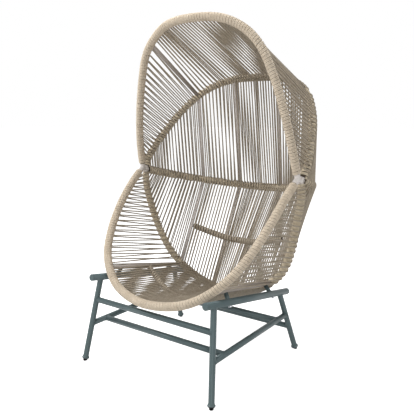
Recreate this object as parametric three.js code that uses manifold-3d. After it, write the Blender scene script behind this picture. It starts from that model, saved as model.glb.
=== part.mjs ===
// Rope-wound pod chair: a hooded cage of bent tubes, strung with rope and bolted onto a splayed steel stand.
// Millimetres, +Z up. The sitter faces -Y; left and right are those of someone looking along +Y.
import * as THREE from "three";
import { mergeVertices } from "three/addons/utils/BufferGeometryUtils.js";
import Module from "manifold-3d";

const wasm = await Module();
wasm.setup();

// Running clearance between pieces, and the overrun of every cut
const fitGap = 0.3;
const cutOverrun = 4;

// Stand: two sloping rails on splayed legs, tied by stretchers. It follows the pod that it carries
const standTubeDiameter = 25;
const frontFootHalfSpread = 352;
const backFootHalfSpread = 349;
const frontFootReach = 21;
const backFootReach = 30;
const railDiameter = 30;
const railWall = 2;
const railHalfSpacing = 310;
const railFrontOverhang = 7;
const railBackOverhang = 45;
const railFrontRise = 58;
const railBackRise = 44;
const frontLegInset = 53;
const backLegInset = 68;
const frontStretcherClearance = 52;
const rearStretcherSpacing = 60;
const sideStretcherFrontSpacing = 108;
const sideStretcherBackDrop = 101;
const crossStretcherInset = 81;

// Feet and rail caps
const gliderDiameter = 14;
const gliderHeight = 5;
const gliderStemDiameter = 8;
const gliderStemLength = 14;
const footMouthDiameter = 18;
const footBandDiameter = 33;
const footConeHeight = 6;
const footBandHeight = 3;
const footFlareHeight = 8;
const capHeadThickness = 3;
const capChamfer = 1.2;
const capStemLength = 14;

// Pod frame: two front hoops meet at a joint on each side, and the back bars start just behind it
const hoopTubeDiameter = 25;
const backBarDiameter = 20;
const ribDiameter = 20;
const tieBarDiameter = 14;
const jointHalfWidth = 434;
const jointSetback = 489;
const jointHeight = 830;
const hoodReach = 151;
const hoodRise = 658;
const seatReach = 461;
const seatDrop = 500;
const backJointOutset = 4;
const backJointSetback = 23;
const backJointDrop = 10;
const archReach = 345;
const archRise = 451;
const midRailReach = 429;
const midRailDrop = 105;
const lowerHoopReach = 90;
const lowerHoopDrop = 582;
const hoodTailLength = 14;
const archTailLength = 12;
const seatRibSink = 5;

// Each half outline runs from the side joint to the middle: shares of the width, the reach and the climb
const hoodOutlineShares = [
  [1, 0, 0], [0.97, 0.2, 0.181], [0.924, 0.344, 0.363], [0.827, 0.517, 0.612],
  [0.7, 0.675, 0.81], [0.537, 0.768, 0.918], [0.325, 0.907, 0.982], [0, 1, 1],
];
const seatOutlineShares = [
  [1, 0, 0], [0.984, 0.202, 0.15], [0.954, 0.406, 0.34], [0.885, 0.599, 0.546],
  [0.774, 0.753, 0.72], [0.594, 0.872, 0.866], [0.369, 0.948, 0.96], [0, 1, 1],
];
const archOutlineShares = [
  [1, 0, 0], [1.018, 0.101, 0.124], [0.963, 0.336, 0.361], [0.861, 0.594, 0.608],
  [0.696, 0.82, 0.825], [0.475, 0.948, 0.949], [0.219, 0.997, 0.996], [0, 1, 1],
];
const midRailOutlineShares = [
  [1, 0, 0], [1, 0.159, 0.159], [0.936, 0.366, 0.366], [0.783, 0.569, 0.569],
  [0.612, 0.751, 0.751], [0.397, 0.876, 0.876], [0.205, 0.963, 0.963], [0, 1, 1],
];
const lowerHoopOutlineShares = [
  [1, 0, 0], [1, 0.056, 0.141], [0.943, 0.156, 0.332], [0.861, 0.422, 0.552],
  [0.735, 0.689, 0.739], [0.568, 0.833, 0.856], [0.32, 0.944, 0.955], [0, 1, 1],
];

// Where the ribs meet each bar, as shares of the bar's length from the right side
const outerRibShares = { hood: 0.343, arch: 0.297, mid: 0.26, lower: 0.323, seat: 0.323 };
const innerRibShares = { hood: 0.434, arch: 0.4275, mid: 0.407, lower: 0.454, seat: 0.454 };
const middleShare = 0.5;
const lumbarDropShare = 0.55;
const seatTieShares = { rib: 0.5, inner: 0.42, middle: 0.4 };

// Rope: where its turns begin and break off, and how many strands fill each bay between ribs
const ropeDiameter = 6;
const hoodWrapStart = 20;
const bindingStart = 42;
const bindingRibGap = 11;
const sideBayStrands = 12;
const outerBayStrands = 5;
const innerBayStrands = 4;
const evenPhaseShare = 0.3;
const oddPhaseShare = 0.7;

// Pod fixings: a boss on the rail reaches the seat rib, and a bolt from below draws them together
const bossDiameter = 18;
const bossInset = 75;
const boltDiameter = 8;
const boltHeadDiameter = 14;
const boltHeadHeight = 5;
const boltGripShare = 0.6;

// Facets
const standSides = 8;
const hoopSides = 8;
const barSides = 8;
const tieSides = 6;
const boltSides = 6;
const ropeSides = 3;
const hoopSteps = 24;
const barSteps = 22;
const tieSteps = 8;

const paint = { color: 0x62726f, roughness: 0.45, metalness: 0.3 };
const bareTube = { color: 0xd8d1cb, roughness: 0.4, metalness: 0.3 };
const hoopRope = { color: 0xc8bca8, roughness: 0.85, metalness: 0 };
const panelRope = { color: 0x968a7a, roughness: 0.9, metalness: 0 };
const blackPlastic = { color: 0x151617, roughness: 0.6, metalness: 0 };
const zincSteel = { color: 0xb9bcc0, roughness: 0.35, metalness: 0.9 };

const chair = new THREE.Group();
const sides = ["left", "right"];
const up = new THREE.Vector3(0, 0, 1);
const point = (x, y, z) => new THREE.Vector3(x, y, z);
const mirrored = (p) => point(-p.x, p.y, p.z);
const onSide = (p, side) => (side === "right" ? p : mirrored(p));
const between = (a, b, share) => a.clone().lerp(b, share);
const directionTo = (a, b) => b.clone().sub(a).normalize();
const towards = (a, b, distance) => a.clone().addScaledVector(directionTo(a, b), distance);

// Solids: three.js makes each shape, and manifold joins and cuts
function solidOf(geometry) {
  const bare = geometry.clone();
  bare.deleteAttribute("normal");
  bare.deleteAttribute("uv");
  const merged = mergeVertices(bare);
  const mesh = new wasm.Mesh({
    numProp: 3,
    vertProperties: new Float32Array(merged.attributes.position.array),
    triVerts: new Uint32Array(merged.index.array),
  });
  return new wasm.Manifold(mesh);
}

function addPart(name, solid, finish) {
  const mesh = solid.getMesh();
  const geometry = new THREE.BufferGeometry();
  geometry.setAttribute("position", new THREE.BufferAttribute(mesh.vertProperties, 3));
  geometry.setIndex(new THREE.BufferAttribute(mesh.triVerts, 1));
  geometry.computeVertexNormals();
  const part = new THREE.Mesh(geometry, new THREE.MeshStandardMaterial(finish));
  part.name = name;
  chair.add(part);
}

const joined = (solids) => solids.reduce((whole, next) => whole.add(next));

// A cut along faceted tubes can leave crumbs beside the piece, so only its main body is kept
function cutBy(solid, cutters) {
  const rest = cutters.reduce((left, cutter) => left.subtract(cutter), solid);
  return rest.decompose().reduce((main, body) => (body.volume() > main.volume() ? body : main));
}

// Stands a shape made along +Z at base, pointing at top
function aimed(geometry, base, top) {
  geometry.applyQuaternion(new THREE.Quaternion().setFromUnitVectors(up, directionTo(base, top)));
  geometry.translate(base.x, base.y, base.z);
  return solidOf(geometry);
}

function section(radius, sideCount) {
  const corners = [];
  for (let i = 0; i < sideCount; i += 1) {
    const angle = (2 * Math.PI * i) / sideCount;
    corners.push(new THREE.Vector2(radius * Math.cos(angle), radius * Math.sin(angle)));
  }
  return new THREE.Shape(corners);
}

function rod(a, b, radius, sideCount) {
  const settings = { depth: a.distanceTo(b), bevelEnabled: false };
  return aimed(new THREE.ExtrudeGeometry(section(radius, sideCount), settings), a, b);
}

const bar = (curve, radius, sideCount, steps) => solidOf(
  new THREE.ExtrudeGeometry(section(radius, sideCount), { steps, bevelEnabled: false, extrudePath: curve }));

// A revolved piece: [radius, height] pairs along the line from base to top
function turned(profile, base, top) {
  const outline = profile.map(([radius, height]) => new THREE.Vector2(radius, height));
  const geometry = new THREE.LatheGeometry(outline, standSides);
  geometry.rotateX(Math.PI / 2);
  return aimed(geometry, base, top);
}

// Corner radius of the room round a faceted piece, whose facets lie the fit gap outside the piece's own
const roomRadius = (radius, sideCount) => radius + fitGap / Math.cos(Math.PI / sideCount);

// Pod joints, and the middles of the two hoops that the stand carries
const frontJoint = point(jointHalfWidth, jointSetback, jointHeight);
const backJoint = point(
  jointHalfWidth + backJointOutset, jointSetback + backJointSetback, jointHeight - backJointDrop);
const seatFront = point(0, frontJoint.y - seatReach, frontJoint.z - seatDrop);
const lowerHoopBack = point(0, backJoint.y + lowerHoopReach, backJoint.z - lowerHoopDrop);

// Stand lines, on the right side
const railFront = point(railHalfSpacing, seatFront.y - railFrontOverhang, seatFront.z + railFrontRise);
const railBack = point(railHalfSpacing, lowerHoopBack.y + railBackOverhang, lowerHoopBack.z + railBackRise);
const footFront = point(frontFootHalfSpread, railFront.y - frontFootReach, 0);
const footBack = point(backFootHalfSpread, railBack.y + backFootReach, 0);
const frontStretcherHeight = seatFront.z - frontStretcherClearance;
const sideStretcherFrontHeight = frontStretcherHeight - sideStretcherFrontSpacing;
const sideStretcherBackHeight = railBack.z - sideStretcherBackDrop;
const rearStretcherHeight = sideStretcherBackHeight - rearStretcherSpacing;
const legTopFront = towards(railFront, railBack, frontLegInset);
const legTopBack = towards(railBack, railFront, backLegInset);
const atHeight = (foot, top, height) => between(foot, top, height / top.z);
const sideTieFront = atHeight(footFront, legTopFront, sideStretcherFrontHeight);
const sideTieBack = atHeight(footBack, legTopBack, sideStretcherBackHeight);
const crossTieFront = towards(sideTieFront, sideTieBack, crossStretcherInset);
const crossTieBack = towards(sideTieBack, sideTieFront, crossStretcherInset);
const standRadius = standTubeDiameter / 2;
const railRadius = railDiameter / 2;

// The whole symmetrical bar from its half outline, with a straight tail before its first point if it has one
function hoopCurve(outlineShares, start, reach, climb, tailLength) {
  const half = outlineShares.map(([across, along, rise]) =>
    point(start.x * across, start.y + reach * along, start.z + climb * rise));
  if (tailLength > 0) {
    half.unshift(towards(half[0], half[1], -tailLength));
  }
  const otherHalf = half.slice(0, -1).reverse().map(mirrored);
  return new THREE.CatmullRomCurve3([...half, ...otherHalf], false, "centripetal");
}

// The room round a bent bar, closed by a short collar past each of its ends
function barRoom(curve, radius, sideCount, steps) {
  const clear = roomRadius(radius, sideCount);
  const collarRadius = clear / Math.cos(Math.PI / sideCount);
  const corners = curve.getSpacedPoints(steps);
  const collar = (end, next) => rod(
    towards(end, next, cutOverrun), towards(end, next, -fitGap), collarRadius, sideCount);
  return joined([
    bar(curve, clear, sideCount, steps),
    collar(corners[0], corners[1]),
    collar(corners.at(-1), corners.at(-2)),
  ]);
}

// A bar is bent in straight steps, and what meets it is placed on those
function podBar(curve, diameter, sideCount, steps, tailLength) {
  const radius = diameter / 2;
  const boundRadius = radius + ropeDiameter;
  const corners = curve.getSpacedPoints(steps);
  return {
    radius, boundRadius, sideCount, tailLength,
    shareAt: (distance) => distance / curve.getLength(),
    tangentAt: (share) => curve.getTangentAt(share),
    at(share) {
      const step = Math.min(Math.floor(share * steps), steps - 1);
      return between(corners[step], corners[step + 1], share * steps - step);
    },
    solid: bar(curve, radius, sideCount, steps),
    room: barRoom(curve, radius, sideCount, steps),
    bound: bar(curve, boundRadius, sideCount, steps),
    boundRoom: barRoom(curve, boundRadius, sideCount, steps),
  };
}

const bars = {
  hood: podBar(
    hoopCurve(hoodOutlineShares, frontJoint, -hoodReach, hoodRise, hoodTailLength),
    hoopTubeDiameter, hoopSides, hoopSteps, hoodTailLength),
  seat: podBar(
    hoopCurve(seatOutlineShares, frontJoint, -seatReach, -seatDrop, 0),
    hoopTubeDiameter, hoopSides, hoopSteps, 0),
  arch: podBar(
    hoopCurve(archOutlineShares, backJoint, archReach, archRise, archTailLength),
    backBarDiameter, barSides, barSteps, archTailLength),
  lower: podBar(
    hoopCurve(lowerHoopOutlineShares, backJoint, lowerHoopReach, -lowerHoopDrop, 0),
    backBarDiameter, barSides, barSteps, 0),
  mid: podBar(
    hoopCurve(midRailOutlineShares, backJoint, midRailReach, -midRailDrop, 0),
    backBarDiameter, barSides, barSteps, 0),
};
const barRooms = Object.values(bars).map(({ room }) => room);

// Ribs, straight from bar to bar, on the right side; the seat rib runs a little under its two hoops
const ribRadius = ribDiameter / 2;
const outerOn = (name) => bars[name].at(outerRibShares[name]);
const innerOn = (name) => bars[name].at(innerRibShares[name]);
const sunk = (p) => point(p.x, p.y, p.z - seatRibSink);
const ribLines = {
  hood_strut: [outerOn("hood"), outerOn("arch")],
  upper_rib_outer: [outerOn("arch"), outerOn("mid")],
  upper_rib_inner: [innerOn("arch"), innerOn("mid")],
  lower_rib_outer: [outerOn("mid"), outerOn("lower")],
  lower_rib_inner: [innerOn("mid"), innerOn("lower")],
  seat_rib: [sunk(outerOn("seat")), sunk(outerOn("lower"))],
};
const ribRoom = (a, b) => rod(a, b, roomRadius(ribRadius, barSides), barSides);
const ribRooms = Object.values(ribLines).flatMap(([a, b]) =>
  [ribRoom(a, b), ribRoom(mirrored(a), mirrored(b))]);

// Fixing lines: from the rail's axis, square to it, up to the seat rib's axis
const railLine = new THREE.Line3(railFront, railBack);
const [seatRibFront, seatRibBack] = ribLines.seat_rib;
function fixingLine(near, far) {
  const onRib = towards(near, far, bossInset);
  return [railLine.closestPointToPoint(onRib, true, new THREE.Vector3()), onRib];
}
const fixings = {
  front: fixingLine(seatRibFront, seatRibBack),
  back: fixingLine(seatRibBack, seatRibFront),
};
const boltRadius = boltDiameter / 2;
const boltHeadSeat = (onRail, onRib) => towards(onRail, onRib, -(railRadius + fitGap));
const boltTip = (onRail, onRib) => towards(onRib, onRail, -ribRadius * boltGripShare);
const boltRoom = (onRail, onRib) => rod(
  towards(onRail, onRib, -(railRadius + cutOverrun)),
  towards(boltTip(onRail, onRib), onRail, -fitGap),
  roomRadius(boltRadius, boltSides), boltSides);
const fixingsOn = (side) => Object.entries(fixings).map(([end, line]) =>
  [end, line.map((p) => onSide(p, side))]);
const boltRoomsOn = (side) => fixingsOn(side).map(([, [onRail, onRib]]) => boltRoom(onRail, onRib));

// Stand tubes
const standRoom = (a, b) => rod(a, b, roomRadius(standRadius, standSides), standSides);
const railRoom = (side) => rod(
  onSide(railFront, side), onSide(railBack, side), roomRadius(railRadius, standSides), standSides);

function addRail(side) {
  const front = onSide(railFront, side);
  const back = onSide(railBack, side);
  const seatRibRoom = ribRoom(...ribLines.seat_rib.map((p) => onSide(p, side)));
  const bosses = fixingsOn(side).map(([, [onRail, onRib]]) =>
    cutBy(rod(onRail, onRib, bossDiameter / 2, standSides), [seatRibRoom]));
  const outside = joined([rod(front, back, railRadius, standSides), ...bosses]);
  const boreEnds = [towards(front, back, -cutOverrun), towards(back, front, -cutOverrun)];
  const bore = rod(...boreEnds, railRadius - railWall, standSides);
  const rail = cutBy(outside, [bore, ...boltRoomsOn(side)]);
  addPart(`rail_${side}`, rail, paint);

  const plugRadius = (railRadius - railWall) * Math.cos(Math.PI / standSides) - fitGap;
  const profile = [
    [0, -capStemLength], [plugRadius, -capStemLength], [plugRadius, fitGap], [railRadius, fitGap],
    [railRadius, capHeadThickness - capChamfer], [railRadius - capChamfer, capHeadThickness],
    [0, capHeadThickness],
  ];
  addPart(`rail_cap_front_${side}`, turned(profile, front, towards(front, back, -capStemLength)), paint);
  addPart(`rail_cap_back_${side}`, turned(profile, back, towards(back, front, -capStemLength)), paint);
}

// A leg has its flared foot welded on, and a glider screwed into the foot and cut flat on the floor
function addLeg(place, side, rightFoot, rightTop) {
  const foot = onSide(rightFoot, side);
  const top = onSide(rightTop, side);
  const coneStart = gliderHeight + fitGap;
  const bandStart = coneStart + footConeHeight;
  const flareStart = bandStart + footBandHeight;
  const tubeStart = flareStart + footFlareHeight;
  const footProfile = [
    [0, coneStart], [footMouthDiameter / 2, coneStart], [footBandDiameter / 2, bandStart],
    [footBandDiameter / 2, flareStart], [standRadius, tubeStart],
    [standRadius, foot.distanceTo(top)], [0, foot.distanceTo(top)],
  ];
  const stemEnd = gliderHeight + gliderStemLength;
  const stemRoom = rod(
    foot, towards(foot, top, stemEnd + fitGap), roomRadius(gliderStemDiameter / 2, standSides), standSides);
  addPart(`leg_${place}_${side}`, cutBy(turned(footProfile, foot, top), [stemRoom, railRoom(side)]), paint);

  const gliderProfile = [
    [0, -gliderHeight], [gliderDiameter / 2, -gliderHeight], [gliderDiameter / 2, gliderHeight],
    [gliderStemDiameter / 2, gliderHeight], [gliderStemDiameter / 2, stemEnd], [0, stemEnd],
  ];
  const floor = new THREE.BoxGeometry(footBandDiameter, footBandDiameter, footBandDiameter);
  floor.translate(foot.x, foot.y, -footBandDiameter / 2);
  const glider = cutBy(turned(gliderProfile, foot, top), [solidOf(floor)]);
  addPart(`glider_${place}_${side}`, glider, blackPlastic);
}

function addBolts(side) {
  for (const [end, [onRail, onRib]] of fixingsOn(side)) {
    const seat = boltHeadSeat(onRail, onRib);
    const tip = boltTip(onRail, onRib);
    const head = rod(towards(seat, onRail, -boltHeadHeight), seat, boltHeadDiameter / 2, boltSides);
    const shank = rod(towards(seat, onRail, -boltHeadHeight / 2), tip, boltRadius, boltSides);
    addPart(`pod_bolt_${end}_${side}`, head.add(shank), zincSteel);
  }
}

function addStand() {
  for (const side of sides) {
    addRail(side);
    addLeg("front", side, footFront, legTopFront);
    addLeg("back", side, footBack, legTopBack);
    addBolts(side);
    const legs = [[footFront, legTopFront], [footBack, legTopBack]];
    const legRooms = legs.map(([foot, top]) => standRoom(onSide(foot, side), onSide(top, side)));
    const tie = rod(onSide(sideTieFront, side), onSide(sideTieBack, side), standRadius, standSides);
    addPart(`side_stretcher_${side}`, cutBy(tie, legRooms), paint);
  }
  const frontTie = atHeight(footFront, legTopFront, frontStretcherHeight);
  const rearTie = atHeight(footBack, legTopBack, rearStretcherHeight);
  const crossTubes = {
    front_stretcher: [frontTie, footFront, legTopFront],
    rear_stretcher: [rearTie, footBack, legTopBack],
    front_cross_stretcher: [crossTieFront, sideTieFront, sideTieBack],
    rear_cross_stretcher: [crossTieBack, sideTieFront, sideTieBack],
  };
  for (const [name, [end, ...carrier]] of Object.entries(crossTubes)) {
    const rooms = [standRoom(...carrier), standRoom(...carrier.map(mirrored))];
    addPart(name, cutBy(rod(mirrored(end), end, standRadius, standSides), rooms), paint);
  }
}

// Bent bars: each gives way to those welded before it
function addBars() {
  const names = {
    hood: "hood_hoop", seat: "seat_hoop", arch: "back_arch", lower: "lower_hoop", mid: "mid_rail",
  };
  const earlier = [];
  for (const [key, name] of Object.entries(names)) {
    addPart(name, cutBy(bars[key].solid, earlier), bareTube);
    earlier.push(bars[key].room);
  }
}

function addRibs() {
  for (const side of sides) {
    const earlier = [...barRooms];
    for (const [name, line] of Object.entries(ribLines)) {
      const [a, b] = line.map((p) => onSide(p, side));
      const cutters = name === "seat_rib" ? [...earlier, ...boltRoomsOn(side)] : earlier;
      addPart(`${name}_${side}`, cutBy(rod(a, b, ribRadius, barSides), cutters), bareTube);
      earlier.push(ribRoom(a, b));
    }
  }
}

// The side of a panel that faces the sitter, at one of the bars that it is strung from
const sitter = point(0, backJoint.y, jointHeight);
function normalToSitter(place, along, tangent) {
  const normal = along.clone().cross(tangent).normalize();
  return normal.multiplyScalar(Math.sign(normal.dot(sitter.clone().sub(place))));
}

// Tie bars: a lumbar bar across the lower back, in front of the inner ribs, and one across the seat
const tieRadius = tieBarDiameter / 2;
const middleShares = Object.fromEntries(Object.keys(bars).map((name) => [name, middleShare]));

function panelPoint(topName, bottomName, shares, drop, inset) {
  const top = bars[topName].at(shares[topName]);
  const bottom = bars[bottomName].at(shares[bottomName]);
  const place = between(top, bottom, drop);
  const tangent = bars[topName].tangentAt(shares[topName]);
  return place.addScaledVector(normalToSitter(place, directionTo(top, bottom), tangent), inset);
}

const tieCurve = (half) => new THREE.CatmullRomCurve3(
  [...half, ...half.slice(0, -1).reverse().map(mirrored)], false, "centripetal");
const lumbarInset = ribRadius + tieRadius + fitGap;
const lumbarCurve = tieCurve([
  panelPoint("mid", "lower", outerRibShares, lumbarDropShare, 0),
  panelPoint("mid", "lower", innerRibShares, lumbarDropShare, lumbarInset),
  panelPoint("mid", "lower", middleShares, lumbarDropShare, lumbarInset),
]);
const seatTieCurve = tieCurve([
  sunk(panelPoint("seat", "lower", outerRibShares, seatTieShares.rib, 0)),
  panelPoint("seat", "lower", innerRibShares, seatTieShares.inner, 0),
  panelPoint("seat", "lower", middleShares, seatTieShares.middle, 0),
]);
const tieSolid = (curve, radius) => bar(curve, radius, tieSides, tieSteps);
const tieRooms = [lumbarCurve, seatTieCurve].map((curve) =>
  tieSolid(curve, roomRadius(tieRadius, tieSides)));

function addTieBars() {
  addPart("lumbar_bar", cutBy(tieSolid(lumbarCurve, tieRadius), ribRooms), bareTube);
  addPart("seat_tie_bar", cutBy(tieSolid(seatTieCurve, tieRadius), ribRooms), bareTube);
}

// Close turns of rope along a bar: a sleeve that starts past the joint and breaks off round the outer ribs
function binding(name, start, ribGap) {
  const { at, shareAt, bound, boundRadius, tailLength } = bars[name];
  const rib = outerRibShares[name];
  const bare = [[0, shareAt(tailLength + start)]];
  if (ribGap > 0) {
    bare.push([rib - shareAt(ribGap), rib + shareAt(ribGap)]);
  }
  const blanks = bare.flatMap(([from, to]) => {
    const ends = [at(from), at(to)];
    return [ends, ends.map(mirrored)].map(([a, b]) =>
      rod(from === 0 ? towards(a, b, -cutOverrun) : a, b, 2 * boundRadius, boltSides));
  });
  return blanks.reduce((rest, blank) => rest.subtract(blank), bound);
}

function addHoodWrap() {
  const wrap = cutBy(binding("hood", hoodWrapStart, 0), [...barRooms, ...ribRooms]);
  addPart("hood_hoop_wrap", wrap, hoopRope);
}

// Rope panels: each is bound on one of its two bars and strung to the turns on the other.
// The faceted strand keeps the round rope's cross-section area.
const turn = 2 * Math.PI;
const strandRadius = (ropeDiameter / 2) * Math.sqrt(turn / (ropeSides * Math.sin(turn / ropeSides)));

// A strand leaves its bars on the sitter's side (layer 1) or on the outer side (layer -1)
function strand(panel, shares, layer) {
  const [onBound, onOther] = [panel.boundOn, panel.strungTo].map((name) => ({
    place: bars[name].at(shares[name]),
    tangent: bars[name].tangentAt(shares[name]),
    offset: bars[name].radius + ropeDiameter / 2,
  }));
  const along = directionTo(onBound.place, onOther.place);
  const [a, b] = [onBound, onOther].map(({ place, tangent, offset }) =>
    place.clone().addScaledVector(normalToSitter(place, along, tangent), layer * offset));
  const bound = bars[panel.boundOn];
  const other = bars[panel.strungTo];
  const clearOf = (radius, sideCount, { tangent, offset }) => {
    const slant = along.clone().cross(tangent).length();
    return Math.sqrt(roomRadius(radius, sideCount) ** 2 - (offset - strandRadius) ** 2) / slant;
  };
  return rod(
    towards(a, b, clearOf(bound.radius, bound.sideCount, onBound)),
    towards(b, a, clearOf(other.boundRadius, other.sideCount, onOther)),
    strandRadius, ropeSides);
}

// The right half's bays: strands stand clear of the outer ribs and run on past the inner ones
function bayEnds(name) {
  const { shareAt, tailLength } = bars[name];
  const margin = shareAt(bindingRibGap + ropeDiameter / 2);
  return {
    start: shareAt(tailLength + bindingStart),
    beforeRib: outerRibShares[name] - margin,
    afterRib: outerRibShares[name] + margin,
    innerRib: innerRibShares[name],
    middle: middleShare,
  };
}
const sideBays = [["start", "beforeRib", sideBayStrands]];
const middleBays = [["afterRib", "innerRib", outerBayStrands], ["innerRib", "middle", innerBayStrands]];

function strandsIn(bays, panel) {
  const names = [panel.boundOn, panel.strungTo];
  const ends = Object.fromEntries(names.map((name) => [name, bayEnds(name)]));
  return bays.flatMap(([first, last, count]) => Array.from({ length: count }, (_, i) => {
    const step = (i + panel.phaseShare) / count;
    const shares = Object.fromEntries(names.map((name) =>
      [name, THREE.MathUtils.lerp(ends[name][first], ends[name][last], step)]));
    const fromRib = last === "beforeRib" ? count - 1 - i : i;
    return strand(panel, shares, fromRib % 2 === 0 ? 1 : -1);
  }));
}

// Turns break off round a rib, except on the seat hoop, which they cover without a break
const panels = {
  hood_rope: { boundOn: "arch", strungTo: "hood", ribGap: bindingRibGap, phaseShare: evenPhaseShare },
  upper_back_rope: { boundOn: "mid", strungTo: "arch", ribGap: bindingRibGap, phaseShare: oddPhaseShare },
  lower_back_rope: {
    boundOn: "lower", strungTo: "mid", ribGap: bindingRibGap, phaseShare: evenPhaseShare, tie: lumbarCurve,
  },
  seat_rope: {
    boundOn: "seat", strungTo: "lower", ribGap: fitGap / 2, phaseShare: oddPhaseShare, tie: seatTieCurve,
  },
};

function addPanels() {
  const rooms = [...barRooms, ...ribRooms, ...tieRooms];
  for (const [name, panel] of Object.entries(panels)) {
    const turns = binding(panel.boundOn, bindingStart, panel.ribGap).decompose();
    const centreOf = (solid) => solid.boundingBox().min[0] + solid.boundingBox().max[0];
    const [, middleTurns, rightTurns] = turns.sort((a, b) => centreOf(a) - centreOf(b));
    const cutters = [...rooms, bars[panel.strungTo].boundRoom];
    const halfMiddle = joined(strandsIn(middleBays, panel));
    const middle = [middleTurns, halfMiddle, halfMiddle.mirror([1, 0, 0])];
    if (panel.tie) {
      middle.push(tieSolid(panel.tie, tieRadius + ropeDiameter));
    }
    const side = joined([rightTurns, ...strandsIn(sideBays, panel)]);
    addPart(`${name}_left`, cutBy(side.mirror([1, 0, 0]), cutters), panelRope);
    addPart(`${name}_middle`, cutBy(joined(middle), cutters), panelRope);
    addPart(`${name}_right`, cutBy(side, cutters), panelRope);
  }
}

addStand();
addBars();
addRibs();
addTieBars();
addHoodWrap();
addPanels();

// The origin goes under the middle of the whole chair, on the floor
chair.updateMatrixWorld(true);
const reach = new THREE.Box3().setFromObject(chair);
chair.position.y = -(reach.min.y + reach.max.y) / 2;

export default chair;
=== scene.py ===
import math
import random

import bmesh
import bpy
import numpy as np
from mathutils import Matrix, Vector


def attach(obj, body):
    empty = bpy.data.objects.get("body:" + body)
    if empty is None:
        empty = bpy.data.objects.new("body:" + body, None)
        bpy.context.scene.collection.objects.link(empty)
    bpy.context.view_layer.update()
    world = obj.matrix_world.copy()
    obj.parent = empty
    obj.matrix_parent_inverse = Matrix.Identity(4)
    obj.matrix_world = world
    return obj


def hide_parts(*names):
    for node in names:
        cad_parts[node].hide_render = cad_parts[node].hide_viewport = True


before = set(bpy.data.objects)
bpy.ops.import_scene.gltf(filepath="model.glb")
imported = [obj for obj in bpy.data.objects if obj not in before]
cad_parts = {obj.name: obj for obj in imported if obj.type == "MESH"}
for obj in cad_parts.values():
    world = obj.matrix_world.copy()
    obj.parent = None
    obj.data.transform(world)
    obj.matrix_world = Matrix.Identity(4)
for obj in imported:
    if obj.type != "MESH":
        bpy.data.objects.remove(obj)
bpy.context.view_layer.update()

dice = random.Random(11)

chair = {
    "originShift": -471.235,  # the frame's origin is under the middle of the chair
    "sitter": (0, 512, 830),
}


def toScene(points):
    return (np.asarray(points, float) + (0, chair["originShift"], 0)) / 1000


def mirrored(points):
    return np.asarray(points, float) * (-1, 1, 1)


def unit(v):
    return np.asarray(v, float) / np.linalg.norm(v)


def acrossOf(line):
    # Two directions square to a line and to each other
    line = unit(line)
    helper = np.array((0, 0, 1.0)) if abs(line[2]) < 0.9 else np.array((1.0, 0, 0))
    first = unit(np.cross(line, helper))
    return first, np.cross(line, first)


def lerp(a, b, share):
    return np.asarray(a, float) * (1 - share) + np.asarray(b, float) * share


def towards(a, b, distance):
    return np.asarray(a, float) + unit(np.subtract(b, a)) * distance


def newObject(name, data):
    made = bpy.data.objects.new(name, data)
    bpy.context.scene.collection.objects.link(made)
    return made


def setInputs(node, **values):
    for label, value in values.items():
        node.inputs[label.replace("_", " ")].default_value = value


# Camera, lamps and floor
cameraSet = {
    "position": (1.46304, -1.99339, 1.08767),
    "turn": 36.613,
    "tilt": 9.566,
    "lens": 47.35,
    "sensor": 36.0,
}
lampSet = {
    "key": {"at": (-2.3, -2.4, 3.2), "size": 1.8, "watts": 124},
    "fill": {"at": (2.4, -3.2, 1.6), "size": 2.6, "watts": 38},
    "rim": {"at": (3.4, 0.9, 2.1), "size": 2.2, "watts": 18},
    "top": {"at": (0.2, 0.4, 3.9), "size": 1.8, "watts": 68},
    "aim": (0, 0, 0.75),
}
worldSet = {"colour": (1.0, 1.0, 1.0), "strength": 0.2}
floorSet = {"reach": 40.0, "colour": (0.74, 0.74, 0.74), "roughness": 0.85, "specular": 0.1, "lift": 0.88}


def addCamera(s):
    data = bpy.data.cameras.new("photoCamera")
    data.sensor_width = s["sensor"]
    data.sensor_fit = "HORIZONTAL"
    data.lens = s["lens"]
    camera = newObject("photoCamera", data)
    camera.location = s["position"]
    camera.rotation_euler = (math.radians(90 - s["tilt"]), 0, math.radians(s["turn"]))
    bpy.context.scene.camera = camera


def addLamps(s):
    for name in ("key", "fill", "rim", "top"):
        data = bpy.data.lights.new(name + "Lamp", "AREA")
        data.shape = "DISK"
        data.size = s[name]["size"]
        data.energy = s[name]["watts"]
        lamp = newObject(name + "Lamp", data)
        lamp.location = s[name]["at"]
        aim = Vector(s["aim"]) - lamp.location
        lamp.rotation_euler = aim.to_track_quat("-Z", "Y").to_euler()


def seenRays(nodes, links):
    # 1 for what the camera sees, directly, in a gloss or through glass
    path = nodes.new("ShaderNodeLightPath")
    seen = path.outputs["Is Camera Ray"]
    for ray in ("Is Glossy Ray", "Is Transmission Ray"):
        either = nodes.new("ShaderNodeMath")
        either.operation = "MAXIMUM"
        links.new(seen, either.inputs[0])
        links.new(path.outputs[ray], either.inputs[1])
        seen = either.outputs[0]
    return seen


def addWorld(s):
    world = bpy.data.worlds.new("studio")
    world.use_nodes = True
    bpy.context.scene.world = world
    nodes, links = world.node_tree.nodes, world.node_tree.links
    nodes.clear()
    out = nodes.new("ShaderNodeOutputWorld")
    mix = nodes.new("ShaderNodeMixShader")
    lit = nodes.new("ShaderNodeBackground")
    setInputs(lit, Color=(*s["colour"], 1), Strength=s["strength"])
    seen = nodes.new("ShaderNodeBackground")
    setInputs(seen, Color=(1, 1, 1, 1), Strength=1)
    links.new(seenRays(nodes, links), mix.inputs["Fac"])
    links.new(lit.outputs[0], mix.inputs[1])
    links.new(seen.outputs[0], mix.inputs[2])
    links.new(mix.outputs[0], out.inputs["Surface"])


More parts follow.
